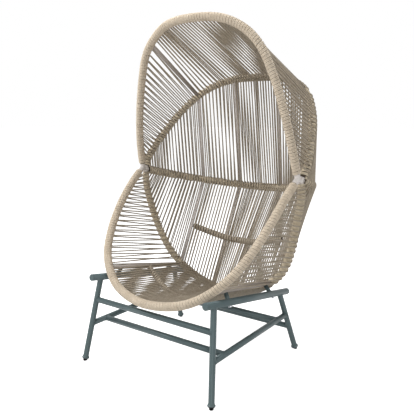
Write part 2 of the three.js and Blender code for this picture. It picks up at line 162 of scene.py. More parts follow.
def addFloor(s):
    reach = s["reach"]
    mesh = bpy.data.meshes.new("floor")
    corners = [(-reach, -reach, 0), (reach, -reach, 0), (reach, reach, 0), (-reach, reach, 0)]
    mesh.from_pydata(corners, [], [(0, 1, 2, 3)])
    material = bpy.data.materials.new("studioFloor")
    material.use_nodes = True
    nodes, links = material.node_tree.nodes, material.node_tree.links
    shader = nodes["Principled BSDF"]
    setInputs(shader, Base_Color=(*s["colour"], 1), Emission_Color=(1, 1, 1, 1))
    setInputs(shader, Roughness=s["roughness"], Specular_IOR_Level=s["specular"])
    lift = nodes.new("ShaderNodeMath")
    lift.operation = "MULTIPLY"
    lift.inputs[1].default_value = s["lift"]
    links.new(seenRays(nodes, links), lift.inputs[0])
    links.new(lift.outputs[0], shader.inputs["Emission Strength"])
    mesh.materials.append(material)
    floor = newObject("floor", mesh)


addCamera(cameraSet)
addLamps(lampSet)
addWorld(worldSet)
addFloor(floorSet)
bpy.context.scene.view_settings.view_transform = "Standard"
print("stage: camera, lamps and floor")


# Shader node groups that several finishes share
def linear(r, g, b):
    # A colour as seen on screen, 0 to 255, in the linear values that shaders take
    screen = (r / 255, g / 255, b / 255)
    return tuple(c / 12.92 if c <= 0.04045 else ((c + 0.055) / 1.055) ** 2.4 for c in screen)


def addSockets(tree, inputs, outputs):
    for label, kind, value in inputs:
        socket = tree.interface.new_socket(label, in_out="INPUT", socket_type="NodeSocket" + kind)
        if value is not None:
            socket.default_value = value
    for label, kind in outputs:
        tree.interface.new_socket(label, in_out="OUTPUT", socket_type="NodeSocket" + kind)


def shaderGroup(name, inputs, outputs):
    group = bpy.data.node_groups.new(name, "ShaderNodeTree")
    addSockets(group, inputs, outputs)
    return group, group.nodes.new("NodeGroupInput"), group.nodes.new("NodeGroupOutput")


def setOrLink(tree, value, socket):
    if isinstance(value, bpy.types.NodeSocket):
        tree.links.new(value, socket)
    else:
        socket.default_value = value


def mathNode(tree, operation, a, b=None, clamp=False):
    made = tree.nodes.new("ShaderNodeMath")
    made.operation = operation
    made.use_clamp = clamp
    setOrLink(tree, a, made.inputs[0])
    if b is not None:
        setOrLink(tree, b, made.inputs[1])
    return made.outputs[0]


def noiseNode(tree, vector, scale, detail, roughness):
    made = tree.nodes.new("ShaderNodeTexNoise")
    setInputs(made, Detail=detail, Roughness=roughness)
    setOrLink(tree, scale, made.inputs["Scale"])
    tree.links.new(vector, made.inputs["Vector"])
    return made.outputs["Fac"]


laySet = {
    "roundness": 0.45, "grooveSharpness": 0.7,
    "fibresAlong": 260, "fibresAcross": 2.6, "fibreDetail": 4, "fibreRoughness": 0.65, "fibreHeight": 0.35,
}


def ropeLayGroup():
    # Twisted strands: UV runs along the rope in metres and once round it
    group, given, out = shaderGroup(
        "ropeLay",
        [("UV", "Vector", None), ("Lay Length", "Float", 0.02), ("Strands", "Float", 4)],
        [("Height", "Float"), ("Groove", "Float"), ("Fibre", "Float")])
    parts = group.nodes.new("ShaderNodeSeparateXYZ")
    group.links.new(given.outputs["UV"], parts.inputs[0])
    along, around = parts.outputs[0], parts.outputs[1]
    twist = mathNode(group, "ADD", mathNode(group, "DIVIDE", along, given.outputs["Lay Length"]), around)
    phase = mathNode(group, "MULTIPLY", twist, given.outputs["Strands"])
    wave = mathNode(group, "ABSOLUTE", mathNode(group, "SINE", mathNode(group, "MULTIPLY", phase, math.pi)))
    rounded = mathNode(group, "POWER", wave, laySet["roundness"])
    sharp = mathNode(group, "POWER", wave, laySet["grooveSharpness"])
    group.links.new(mathNode(group, "SUBTRACT", 1, sharp), out.inputs["Groove"])
    place = group.nodes.new("ShaderNodeCombineXYZ")
    group.links.new(mathNode(group, "MULTIPLY", along, laySet["fibresAlong"]), place.inputs[0])
    group.links.new(mathNode(group, "MULTIPLY", phase, laySet["fibresAcross"]), place.inputs[1])
    fibre = noiseNode(group, place.outputs[0], 1.0, laySet["fibreDetail"], laySet["fibreRoughness"])
    group.links.new(fibre, out.inputs["Fibre"])
    raised = mathNode(group, "MULTIPLY", fibre, laySet["fibreHeight"])
    group.links.new(mathNode(group, "ADD", rounded, raised), out.inputs["Height"])
    return group


grainSet = {
    "grain": (2, 0.5), "drift": (4, 0.6), "speck": (3, 0.7),  # detail and roughness of each noise
    "speckScale": 420, "speckFrom": 0.62, "speckGain": 6,
}


def coatGrainGroup():
    # Powder coat: orange peel, and a slow drift of shade over the tube
    group, given, out = shaderGroup(
        "coatGrain",
        [("Vector", "Vector", None), ("Grain", "Float", 900), ("Drift", "Float", 9)],
        [("Height", "Float"), ("Shade", "Float"), ("Speck", "Float")])
    vector = given.outputs["Vector"]
    grain = noiseNode(group, vector, given.outputs["Grain"], *grainSet["grain"])
    drift = noiseNode(group, vector, given.outputs["Drift"], *grainSet["drift"])
    group.links.new(grain, out.inputs["Height"])
    group.links.new(drift, out.inputs["Shade"])
    fine = noiseNode(group, vector, grainSet["speckScale"], *grainSet["speck"])
    above = mathNode(group, "SUBTRACT", fine, grainSet["speckFrom"])
    speck = mathNode(group, "MULTIPLY", above, grainSet["speckGain"], clamp=True)
    group.links.new(speck, out.inputs["Speck"])
    return group


ropeLay = ropeLayGroup()
coatGrain = coatGrainGroup()

# Finishes, named as their materials are; colours are as seen on screen
ropeFinishes = {
    # each groove colour is painted shade, laid into the grooves between the strands
    "hoopRope": {"light": (240, 226, 206), "dark": (208, 193, 171), "groove": (112, 98, 80)},
    "panelRope": {"light": (202, 190, 171), "dark": (158, 145, 127), "groove": (70, 60, 49)},
    "boundRope": {"light": (240, 227, 202), "dark": (196, 181, 155), "groove": (74, 64, 51)},
    # painted shade: the dark colour of the sleeve under the open turns
    "paintedShadeRope": {"light": (84, 73, 59), "dark": (62, 54, 43), "groove": (42, 36, 28)},
}
ropeSurface = {  # what all ropes share
    "layLength": 0.024, "strands": 4, "grooveShadeShare": 0.55,
    "patches": (34, 3, 0.6), "patchShare": 0.6, "fibreShare": 0.4, "tone": (-0.75, 1.75),
    "rough": (0.62, 0.9), "specular": 0.35, "sheen": 0.12, "bump": 0.5, "depth": 0.0006,
}
coatFinishes = {
    "standPaint": {"light": (80, 97, 99), "dark": (67, 82, 84), "rough": (0.38, 0.52), "bump": 0.12},
    "podPaint": {"light": (222, 216, 211), "dark": (204, 197, 192), "rough": (0.34, 0.48)},
    # painted shade: the pod paint made darker for the hood struts and seat ribs, which lie in shade
    "paintedShadePodPaint": {"light": (172, 162, 153), "dark": (156, 146, 137), "rough": (0.42, 0.56), "metallic": 0.1},
    "gliderPlastic": {
        "light": (26, 26, 27), "dark": (16, 16, 17), "rough": (0.6, 0.75),
        "metallic": 0.0, "specular": 0.1, "bump": 0.2},
    "boltZinc": {
        "light": (196, 198, 202), "dark": (164, 167, 172), "rough": (0.26, 0.44),
        "metallic": 0.95, "bump": 0.06},
}
coatSurface = {  # what a coat has unless its finish says otherwise
    "metallic": 0.15, "specular": 0.5, "bump": 0.08, "depth": 0.0004,
    "grain": 900, "drift": 9, "speckShare": 0.18,
}


def mixNode(tree, share, a, b):
    made = tree.nodes.new("ShaderNodeMix")
    made.data_type = "RGBA"
    tree.links.new(share, made.inputs["Factor"])
    for value, socket in ((a, made.inputs[6]), (b, made.inputs[7])):
        setOrLink(tree, (*value, 1) if isinstance(value, tuple) else value, socket)
    return made.outputs[2]


def groupNode(tree, group, **values):
    made = tree.nodes.new("ShaderNodeGroup")
    made.node_tree = group
    setInputs(made, **values)
    return made


def rangeNode(tree, value, low, high):
    made = tree.nodes.new("ShaderNodeMapRange")
    setInputs(made, To_Min=low, To_Max=high)
    tree.links.new(value, made.inputs["Value"])
    return made.outputs["Result"]


def startMaterial(name):
    material = bpy.data.materials.new(name)
    material.use_nodes = True
    tree = material.node_tree
    return material, tree, tree.nodes["Principled BSDF"], tree.nodes.new("ShaderNodeTexCoord").outputs


def addBump(tree, shader, height, strength, depth):
    bump = tree.nodes.new("ShaderNodeBump")
    setInputs(bump, Strength=strength, Distance=depth)
    tree.links.new(height, bump.inputs["Height"])
    tree.links.new(bump.outputs["Normal"], shader.inputs["Normal"])


def ropeMaterial(name, finish):
    s = {**ropeSurface, **finish}
    material, tree, shader, place = startMaterial(name)
    lay = groupNode(tree, ropeLay, Lay_Length=s["layLength"], Strands=s["strands"])
    tree.links.new(place["UV"], lay.inputs["UV"])
    patches = mathNode(tree, "MULTIPLY", noiseNode(tree, place["Object"], *s["patches"]), s["patchShare"])
    fibres = mathNode(tree, "MULTIPLY", lay.outputs["Fibre"], s["fibreShare"])
    tone = rangeNode(tree, mathNode(tree, "ADD", patches, fibres), *s["tone"])
    yarn = mixNode(tree, tone, linear(*s["dark"]), linear(*s["light"]))
    # painted shade: the yarn is darkened towards the groove colour in the grooves between the strands
    groove = mathNode(tree, "MULTIPLY", lay.outputs["Groove"], s["grooveShadeShare"])
    tree.links.new(mixNode(tree, groove, yarn, linear(*s["groove"])), shader.inputs["Base Color"])
    tree.links.new(rangeNode(tree, lay.outputs["Fibre"], *s["rough"]), shader.inputs["Roughness"])
    setInputs(shader, Specular_IOR_Level=s["specular"], Sheen_Weight=s["sheen"])
    addBump(tree, shader, lay.outputs["Height"], s["bump"], s["depth"])
    return material


def coatMaterial(name, finish):
    s = {**coatSurface, **finish}
    material, tree, shader, place = startMaterial(name)
    coat = groupNode(tree, coatGrain, Grain=s["grain"], Drift=s["drift"])
    tree.links.new(place["Object"], coat.inputs["Vector"])
    body = mixNode(tree, coat.outputs["Shade"], linear(*s["dark"]), linear(*s["light"]))
    speck = mathNode(tree, "MULTIPLY", coat.outputs["Speck"], s["speckShare"])
    tree.links.new(mixNode(tree, speck, body, linear(*s["dark"])), shader.inputs["Base Color"])
    tree.links.new(rangeNode(tree, coat.outputs["Shade"], *s["rough"]), shader.inputs["Roughness"])
    setInputs(shader, Metallic=s["metallic"], Specular_IOR_Level=s["specular"])
    addBump(tree, shader, coat.outputs["Height"], s["bump"], s["depth"])
    return material


hoopRope, panelRope, boundRope, paintedShadeRope = (ropeMaterial(*item) for item in ropeFinishes.items())
standPaint, podPaint, paintedShadePodPaint, gliderPlastic, boltZinc = (
    coatMaterial(*item) for item in coatFinishes.items())
print("materials: ropes, powder coats, plastic and zinc")


# Geometry Nodes: one tree runs a round bar along each path, the other winds rope round a path
weldDistance = 0.000002  # metres; closes the seam of a round section


class TreeMaker:
    def __init__(self, name, inputs):
        self.tree = bpy.data.node_groups.new(name, "GeometryNodeTree")
        addSockets(self.tree, [("Geometry", "Geometry", None), *inputs], [("Geometry", "Geometry")])
        self.given = self.tree.nodes.new("NodeGroupInput").outputs

    def add(self, kind, settings=None, **inputs):
        made = self.tree.nodes.new(kind)
        for key, value in (settings or {}).items():
            setattr(made, key, value)
        for label, value in inputs.items():
            self.feed(made.inputs[label.replace("_", " ")], value)
        return made

    def feed(self, socket, value):
        setOrLink(self.tree, value, socket)

    def maths(self, operation, a, b=0.0):
        made = self.add("ShaderNodeMath", {"operation": operation})
        self.feed(made.inputs[0], a)
        self.feed(made.inputs[1], b)
        return made.outputs[0]

    def vector(self, operation, a, b):
        made = self.add("ShaderNodeVectorMath", {"operation": operation})
        self.feed(made.inputs[0], a)
        self.feed(made.inputs["Scale"] if operation == "SCALE" else made.inputs[1], b)
        return made.outputs[0]

    def noted(self, geometry, value):
        # Keeps a value with the geometry that it is read on
        made = self.add("GeometryNodeCaptureAttribute", Geometry=geometry)
        made.capture_items.new("FLOAT", "Noted")
        self.feed(made.inputs[1], value)
        return made.outputs["Geometry"], made.outputs[1]

    def finishRound(self, curve, radius, sides, material):
        # A closed round section along the curve, with UV along it in metres and once round it
        curve, along = self.noted(curve, self.add("GeometryNodeSplineParameter").outputs["Length"])
        arc = self.add(
            "GeometryNodeCurveArc", {"mode": "RADIUS"}, Resolution=self.maths("ADD", sides, 1),
            Radius=radius, Sweep_Angle=2 * math.pi)
        factor = self.add("GeometryNodeSplineParameter").outputs["Factor"]
        ring, around = self.noted(arc.outputs["Curve"], factor)
        skin = self.add("GeometryNodeCurveToMesh", Curve=curve, Profile_Curve=ring)
        place = self.add("ShaderNodeCombineXYZ", X=along, Y=around)
        mapped = self.add(
            "GeometryNodeStoreNamedAttribute", {"data_type": "FLOAT2", "domain": "CORNER"},
            Geometry=skin.outputs["Mesh"], Name="UVMap", Value=place.outputs[0])
        welded = self.add("GeometryNodeMergeByDistance", Geometry=mapped.outputs[0], Distance=weldDistance)
        smooth = self.add("GeometryNodeSetShadeSmooth", Geometry=welded.outputs[0])
        real = self.add("GeometryNodeRealizeInstances", Geometry=smooth.outputs[0])
        painted = self.add("GeometryNodeSetMaterial", Geometry=real.outputs[0], Material=material)
        out = self.tree.nodes.new("NodeGroupOutput")
        self.tree.links.new(painted.outputs[0], out.inputs[0])
        return self.tree


def roundBarTree():
    maker = TreeMaker("roundBar", [
        ("Radius", "Float", 0.0125), ("Sides", "Int", 24), ("Material", "Material", None)])
    given = maker.given
    path = maker.add("GeometryNodeMeshToCurve", Mesh=given["Geometry"])
    return maker.finishRound(path.outputs[0], given["Radius"], given["Sides"], given["Material"])


def ropeTurnsTree():
    maker = TreeMaker("ropeTurns", [
        ("Turn Radius", "Float", 0.015), ("Rope Radius", "Float", 0.0025), ("Pitch", "Float", 0.0128),
        ("Start", "Float", 0.0), ("End", "Float", 1.0), ("Lanes", "Int", 2), ("Lane Step", "Float", 0.006),
        ("Points Per Turn", "Int", 16), ("Sides", "Int", 8), ("Material", "Material", None)])
    given = maker.given
    path = maker.add("GeometryNodeMeshToCurve", Mesh=given["Geometry"]).outputs[0]
    span = maker.maths("SUBTRACT", given["End"], given["Start"])
    turns = maker.maths("DIVIDE", span, given["Pitch"])
    line = maker.add("GeometryNodeCurvePrimitiveLine")
    count = maker.maths("ADD", maker.maths("MULTIPLY", turns, given["Points Per Turn"]), 1.0)
    dotted = maker.add("GeometryNodeResampleCurve", Curve=line.outputs[0], Count=count)
    lanes = maker.add(
        "GeometryNodeDuplicateElements", {"domain": "SPLINE"},
        Geometry=dotted.outputs[0], Amount=given["Lanes"])
    share = maker.add("GeometryNodeSplineParameter").outputs["Factor"]
    laneShift = maker.maths("MULTIPLY", lanes.outputs["Duplicate Index"], given["Lane Step"])
    covered = maker.maths("MULTIPLY", share, span)
    station = maker.maths("ADD", maker.maths("ADD", given["Start"], covered), laneShift)
    spot = maker.add(
        "GeometryNodeSampleCurve", {"mode": "LENGTH", "use_all_curves": True}, Curves=path, Length=station)
    angle = maker.maths("MULTIPLY", maker.maths("MULTIPLY", share, turns), 2 * math.pi)
    square = maker.vector("CROSS_PRODUCT", spot.outputs["Tangent"], spot.outputs["Normal"])
    out = maker.vector("SCALE", spot.outputs["Normal"], maker.maths("COSINE", angle))
    side = maker.vector("SCALE", square, maker.maths("SINE", angle))
    arm = maker.vector("SCALE", maker.vector("ADD", out, side), given["Turn Radius"])
    spread = maker.vector("ADD", spot.outputs["Position"], arm)
    wound = maker.add("GeometryNodeSetPosition", Geometry=lanes.outputs[0], Position=spread)
    return maker.finishRound(wound.outputs[0], given["Rope Radius"], given["Sides"], given["Material"])


roundBar = roundBarTree()
ropeTurns = ropeTurnsTree()


def wireOf(name, lines, closed=False):
    vertices, edges = [], []
    for line in lines:
        first, count = len(vertices), len(line)
        vertices.extend(map(tuple, toScene(line)))
        edges.extend((first + i, first + i + 1) for i in range(count - 1))
        if closed:
            edges.append((first + count - 1, first))
    mesh = bpy.data.meshes.new(name)
    mesh.from_pydata(vertices, edges, [])
    return mesh


def grown(name, wire, tree, **sizes):
    # Runs a tree on a wire and keeps the plain mesh that comes out, with its open ends closed
    obj = newObject(name, wire)
    modifier = obj.modifiers.new("shape", "NODES")
    modifier.node_group = tree
    named = {item.name: item.identifier for item in tree.interface.items_tree if item.in_out == "INPUT"}
    for label, value in sizes.items():
        modifier[named[label.replace("_", " ")]] = value
    graph = bpy.context.evaluated_depsgraph_get()
    mesh = bpy.data.meshes.new_from_object(obj.evaluated_get(graph), depsgraph=graph)
    obj.modifiers.clear()
    obj.data = mesh
    mesh.name = name
    closeEnds(mesh)
    return obj


def roundAlong(name, lines, radius, sides, material, closed=False):
    wire = wireOf(name, lines, closed)
    return grown(name, wire, roundBar, Radius=radius / 1000, Sides=sides, Material=material)


def closeEnds(mesh):
    work = bmesh.new()
    work.from_mesh(mesh)
    openEdges = [edge for edge in work.edges if edge.is_boundary]
    if openEdges:
        for face in bmesh.ops.holes_fill(work, edges=openEdges, sides=0)["faces"]:
            face.smooth = False
    work.to_mesh(mesh)
    work.free()


def latheInto(work, profile, base, tip, sides):
    # Turns a [radius, height] profile, in millimetres, round the line from base to tip
    across, deep = acrossOf(np.subtract(tip, base))
    line = unit(np.subtract(tip, base))
    rings = []
    for radius, height in profile:
        centre = np.asarray(base, float) + line * height
        if radius == 0:
            rings.append([work.verts.new(toScene(centre))])
            continue
        angles = [2 * math.pi * i / sides for i in range(sides)]
        arms = [(across * math.cos(angle) + deep * math.sin(angle)) * radius for angle in angles]
        rings.append([work.verts.new(toScene(centre + arm)) for arm in arms])
    for low, high in zip(rings, rings[1:]):
        for i in range(sides):
            j = (i + 1) % sides
            corners = [low[i % len(low)], low[j % len(low)], high[j % len(high)], high[i % len(high)]]
            work.faces.new(list(dict.fromkeys(corners))).smooth = True


def meshFrom(work, name):
    mesh = bpy.data.meshes.new(name)
    work.to_mesh(mesh)
    work.free()
    return mesh


sharpAngle = 32  # edges of turned pieces that bend more than this stay crisp


def turnedPiece(name, shapes, material):
    # Each shape is a profile, its line and its number of sides
    work = bmesh.new()
    for profile, base, tip, sides in shapes:
        latheInto(work, profile, base, tip, sides)
    bmesh.ops.recalc_face_normals(work, faces=work.faces)
    mesh = meshFrom(work, name)
    mesh.set_sharp_from_angle(angle=math.radians(sharpAngle))
    mesh.materials.append(material)
    return newObject(name, mesh)


def joinInto(name, objects):
    # Several made meshes become one piece, and keep their own materials
    work = bmesh.new()
    materials = []
    for obj in objects:
        for material in obj.data.materials:
            if material not in materials:
                materials.append(material)
        start = len(work.faces)
        work.from_mesh(obj.data)
        work.faces.ensure_lookup_table()
        own = [materials.index(m) for m in obj.data.materials]
        for face in work.faces[start:]:
            face.material_index = own[face.material_index]
    mesh = meshFrom(work, name)
    for material in materials:
        mesh.materials.append(material)
    for obj in objects:
        bpy.data.objects.remove(obj)
    return newObject(name, mesh)


def standsFor(obj, slot, *nodes):
    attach(obj, "root")
    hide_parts(*nodes)


def pieceName(node):
    first, *rest = node.split("_")
    return first + "".join(word.title() for word in rest)


def addTurned(node, slot, shapes, material):
    standsFor(turnedPiece(pieceName(node), shapes, material), slot, node)


def addJoined(node, slot, parts):
    standsFor(joinInto(pieceName(node), parts), slot, node)


# Stand lines, on the right side
stand = {
    "tube": 25, "rail": 30,
    "frontFootHalfSpread": 352, "backFootHalfSpread": 349, "footDepthSpacing": 677,
    "railHalfSpacing": 310, "railFrontSetback": 21, "railDepth": 626, "railFrontHeight": 388, "railDrop": 106,
    "frontLegInset": 53, "backLegInset": 68,
    "frontStretcherHeight": 278, "rearStretcherHeight": 121,
    "sideFrontHeight": 170, "sideBackHeight": 181, "crossInset": 81,
    "sides": 40, "bead": 2.1,
}
railFront = np.array((stand["railHalfSpacing"], stand["railFrontSetback"], stand["railFrontHeight"]), float)
railBack = railFront + (0, stand["railDepth"], -stand["railDrop"])
footFront = np.array((stand["frontFootHalfSpread"], 0, 0), float)
footBack = np.array((stand["backFootHalfSpread"], stand["footDepthSpacing"], 0), float)
legTopFront = towards(railFront, railBack, stand["frontLegInset"])
legTopBack = towards(railBack, railFront, stand["backLegInset"])


def atHeight(foot, top, height):
    return lerp(foot, top, height / top[2])


sideTieFront = atHeight(footFront, legTopFront, stand["sideFrontHeight"])
sideTieBack = atHeight(footBack, legTopBack, stand["sideBackHeight"])
crossTieFront = towards(sideTieFront, sideTieBack, stand["crossInset"])
crossTieBack = towards(sideTieBack, sideTieFront, stand["crossInset"])
frontTie = atHeight(footFront, legTopFront, stand["frontStretcherHeight"])
rearTie = atHeight(footBack, legTopBack, stand["rearStretcherHeight"])


# Bent bars of the pod
pod = {
    "hoopTube": 25, "backBar": 20, "rib": 20, "tieBar": 14,
    "joint": (434, 489, 830), "backJointStep": (4, 23, -10),
    "ribSink": 5, "lumbarDrop": 0.55, "seatTie": (0.5, 0.42, 0.4), "tieGap": 0.3,
    "sides": 32, "bead": 1.6, "tangentReach": 3,
}
outlines = {  # each share is how far a point is across, along and up, of the way from joint to middle
    "hood": {"reach": -151, "climb": 658, "tail": 14, "shares": [
        (1, 0, 0), (0.97, 0.2, 0.181), (0.924, 0.344, 0.363), (0.827, 0.517, 0.612),
        (0.7, 0.675, 0.81), (0.537, 0.768, 0.918), (0.325, 0.907, 0.982), (0, 1, 1)]},
    "seat": {"reach": -461, "climb": -500, "tail": 0, "shares": [
        (1, 0, 0), (0.984, 0.202, 0.15), (0.954, 0.406, 0.34), (0.885, 0.599, 0.546),
        (0.774, 0.753, 0.72), (0.594, 0.872, 0.866), (0.369, 0.948, 0.96), (0, 1, 1)]},
    "arch": {"reach": 345, "climb": 451, "tail": 12, "shares": [
        (1, 0, 0), (1.018, 0.101, 0.124), (0.963, 0.336, 0.361), (0.861, 0.594, 0.608),
        (0.696, 0.82, 0.825), (0.475, 0.948, 0.949), (0.219, 0.997, 0.996), (0, 1, 1)]},
    "lower": {"reach": 90, "climb": -582, "tail": 0, "shares": [
        (1, 0, 0), (1, 0.056, 0.141), (0.943, 0.156, 0.332), (0.861, 0.422, 0.552),
        (0.735, 0.689, 0.739), (0.568, 0.833, 0.856), (0.32, 0.944, 0.955), (0, 1, 1)]},
    "mid": {"reach": 429, "climb": -105, "tail": 0, "shares": [
        (1, 0, 0), (1, 0.159, 0.159), (0.936, 0.366, 0.366), (0.783, 0.569, 0.569),
        (0.612, 0.751, 0.751), (0.397, 0.876, 0.876), (0.205, 0.963, 0.963), (0, 1, 1)]},
}
# Where the ribs meet each bar, as a share of its length
outerRib = {"hood": 0.343, "arch": 0.297, "mid": 0.26, "lower": 0.323, "seat": 0.323}
innerRib = {"hood": 0.434, "arch": 0.4275, "mid": 0.407, "lower": 0.454, "seat": 0.454}
middle = dict.fromkeys(outerRib, 0.5)


def smoothLine(points, perSpan=20):
    # Centripetal spline through the points, as in the solids
    p = [np.asarray(q, float) for q in points]
    p = [2 * p[0] - p[1], *p, 2 * p[-1] - p[-2]]
    out = []
    for a, b, c, d in zip(p, p[1:], p[2:], p[3:]):
        da, db, dc = (np.linalg.norm(e) ** 0.5 for e in (b - a, c - b, d - c))
        leave = ((b - a) / da - (c - a) / (da + db) + (c - b) / db) * db
        arrive = ((c - b) / db - (d - b) / (db + dc) + (d - c) / dc) * db
        bow, twist = 3 * (c - b) - 2 * leave - arrive, 2 * (b - c) + leave + arrive
        out += [b + leave * t + bow * t ** 2 + twist * t ** 3 for t in np.arange(perSpan) / perSpan]
    return np.array([*out, p[-2]])


class BentBar:
    def __init__(self, points, diameter, tail=0):
        self.points = points
        self.radius = diameter / 2
        self.tail = tail
        steps = np.linalg.norm(np.diff(points, axis=0), axis=1)
        self.stations = np.concatenate([[0], np.cumsum(steps)])
        self.length = self.stations[-1]

    def at(self, station):
        return np.array([np.interp(station, self.stations, self.points[:, k]) for k in range(3)])

    def along(self, station):
        low, high = max(station - pod["tangentReach"], 0), min(station + pod["tangentReach"], self.length)
        return unit(self.at(high) - self.at(low))


def hoopBar(s, start, diameter):
    half = [np.array((start[0] * across, start[1] + s["reach"] * along, start[2] + s["climb"] * rise))
            for across, along, rise in s["shares"]]
    if s["tail"]:
        half.insert(0, towards(half[0], half[1], -s["tail"]))
    whole = half + [mirrored(p) for p in reversed(half[:-1])]
    return BentBar(smoothLine(whole), diameter, s["tail"])


frontJoint = np.array(pod["joint"], float)
backJoint = frontJoint + pod["backJointStep"]
bars = {}
for barName, outline in outlines.items():
    isFront = barName in ("hood", "seat")
    start, diameter = (frontJoint, pod["hoopTube"]) if isFront else (backJoint, pod["backBar"])
    bars[barName] = hoopBar(outline, start, diameter)


def onBar(name, share):
    return bars[name].at(share * bars[name].length)


def sunk(p):
    return np.asarray(p) - (0, 0, pod["ribSink"])


ribEnds = {
    "hood_strut": ("hood", "arch"), "upper_rib_outer": ("arch", "mid"), "upper_rib_inner": ("arch", "mid"),
    "lower_rib_outer": ("mid", "lower"), "lower_rib_inner": ("mid", "lower"), "seat_rib": ("seat", "lower"),
}
ribShares = {name: innerRib if "inner" in name else outerRib for name in ribEnds}
ribLines = {name: [onBar(end, ribShares[name][end]) for end in ends] for name, ends in ribEnds.items()}
ribLines["seat_rib"] = [sunk(p) for p in ribLines["seat_rib"]]


def towardsSitter(place, along, tangent):
    normal = unit(np.cross(along, tangent))
    return normal * np.sign(np.dot(normal, np.subtract(chair["sitter"], place)))


def panelPoint(top, bottom, shares, drop, inset):
    a, b = onBar(top, shares[top]), onBar(bottom, shares[bottom])
    place = lerp(a, b, drop)
    tangent = bars[top].along(shares[top] * bars[top].length)
    return place + towardsSitter(place, unit(b - a), tangent) * inset


def tieBar(half):
    return BentBar(smoothLine([*half, *[mirrored(p) for p in reversed(half[:-1])]]), pod["tieBar"])


lumbarInset = (pod["rib"] + pod["tieBar"]) / 2 + pod["tieGap"]
lumbar = tieBar([
    panelPoint("mid", "lower", outerRib, pod["lumbarDrop"], 0),
    panelPoint("mid", "lower", innerRib, pod["lumbarDrop"], lumbarInset),
    panelPoint("mid", "lower", middle, pod["lumbarDrop"], lumbarInset)])
seatTie = tieBar([
    sunk(panelPoint("seat", "lower", outerRib, pod["seatTie"][0], 0)),
    panelPoint("seat", "lower", innerRib, pod["seatTie"][1], 0),
    panelPoint("seat", "lower", middle, pod["seatTie"][2], 0)])


# Weld beads: the line where a tube runs into another, found on the tube's own side lines
weld = {"points": 28, "sides": 8}


def weldLine(start, end, radius, carrier, carrierLine, carrierRadius):
    run, line = unit(np.subtract(end, start)), unit(carrierLine)
    across, deep = acrossOf(run)
    slope = run - line * np.dot(run, line)
    ring = []
    for i in range(weld["points"]):
        angle = 2 * math.pi * i / weld["points"]
        root = start + (across * math.cos(angle) + deep * math.sin(angle)) * radius
        offset = root - carrier
        offset = offset - line * np.dot(offset, line)
        a, b = np.dot(slope, slope), np.dot(offset, slope)
        rest = max(b * b - a * (np.dot(offset, offset) - carrierRadius ** 2), 0)
        ring.append(root + run * ((-b - math.sqrt(rest)) / a))
    return ring


def beads(rings, radius, material):
    return roundAlong("bead", rings, radius, weld["sides"], material, True)


def standTube(name, a, b, radius=stand["tube"] / 2):
    return roundAlong(name, [[a, b]], radius, stand["sides"], standPaint)


def same(points):
    return np.asarray(points, float)


sides = {"left": mirrored, "right": same}


# Stand: rails with the bosses that carry the pod, legs, stretchers, caps, gliders and bolts
foot = {
    "mouth": 18, "band": 33, "cone": 8.5, "bandHeight": 3, "flare": 8, "gap": 0.3, "soft": 0.6,
    "waist": (0.55, 0.5), "neck": (0.5, 1), "conePlay": 0.05,
}
glider = {
    "height": 5, "diameter": 17, "sides": 32, "chamfer": 1, "shoulder": 0.6, "floorGap": 0.2,
    "stem": 8, "stemLength": 14,
}
cap = {
    "head": 3, "chamfer": 1.2, "roundness": 0.35, "rim": 0.5, "lift": 0.2,
    "stem": 14, "wall": 2, "play": 0.3,
}
fixing = {
    "inset": 75, "boss": 18, "bossSink": 1, "bossSides": 24,
    "bolt": 8, "boltSides": 20, "boltSink": 1, "grip": 0.6,
    "headAcross": 14, "head": 5, "headEdge": (1.3, 0.8), "headSides": 6, "headGap": 0.3,
}


def fixingLine(near, far):
    onRib = towards(near, far, fixing["inset"])
    rail = unit(railBack - railFront)
    return railFront + rail * np.dot(onRib - railFront, rail), onRib


fixings = {"front": fixingLine(*ribLines["seat_rib"]), "back": fixingLine(*reversed(ribLines["seat_rib"]))}


def addRail(side, turn):
    front, back, radius = turn(railFront), turn(railBack), stand["rail"] / 2
    parts = [standTube("tube", front, back, radius)]
    rings = []
    for onRail, onRib in fixings.values():
        onRail, onRib = turn(onRail), turn(onRib)
        top = towards(onRib, onRail, pod["rib"] / 2 - fixing["bossSink"])
        parts.append(roundAlong("boss", [[onRail, top]], fixing["boss"] / 2, fixing["bossSides"], standPaint))
        rings.append(weldLine(onRib, onRail, fixing["boss"] / 2, front, back - front, radius))
    parts.append(beads(rings, stand["bead"], standPaint))
    addJoined(f"rail_{side}", "stand_paint", parts)


def addRailCaps(side, turn):
    radius, head, chamfer, lift = stand["rail"] / 2, cap["head"], cap["chamfer"], cap["lift"]
    plug, edge = radius - cap["wall"] - cap["play"], cap["roundness"] * chamfer
    profile = [
        (0, -cap["stem"]), (plug, -cap["stem"]), (plug, lift), (radius - cap["rim"], lift),
        (radius, lift + cap["rim"]), (radius, head - chamfer), (radius - edge, head - edge),
        (radius - chamfer, head), (radius / 2, head), (0, head)]
    ends = {"front": (railFront, railBack), "back": (railBack, railFront)}
    for end, (place, inner) in ends.items():
        place, inner = turn(place), turn(inner)
        shape = (profile, place, 2 * place - inner, stand["sides"])
        addTurned(f"rail_cap_{end}_{side}", "stand_paint", [shape], standPaint)


def footProfile(length, radius):
    band = glider["height"] + foot["gap"] + foot["cone"]
    flare = band + foot["bandHeight"]
    tube = flare + foot["flare"]
    half, soft = foot["band"] / 2, foot["soft"]
    (inward, upward), (neckOut, neckDown) = foot["waist"], foot["neck"]
    return [
        (0, band - soft), (half - soft, band - soft), (half, band), (half, flare),
        (half - soft, flare + soft), (lerp(half, radius, inward) - soft, lerp(flare, tube, upward)),
        (radius + neckOut, tube - neckDown), (radius, tube), (radius, length), (0, length)]


def conePlug():
    # The black cone that closes the flared foot
    low, wide = glider["height"] + foot["gap"], foot["band"] / 2 - foot["soft"]
    high = low + foot["cone"] - foot["soft"] - foot["conePlay"]
    return [(0, low), (foot["mouth"] / 2, low), (wide, high), (0, high)]


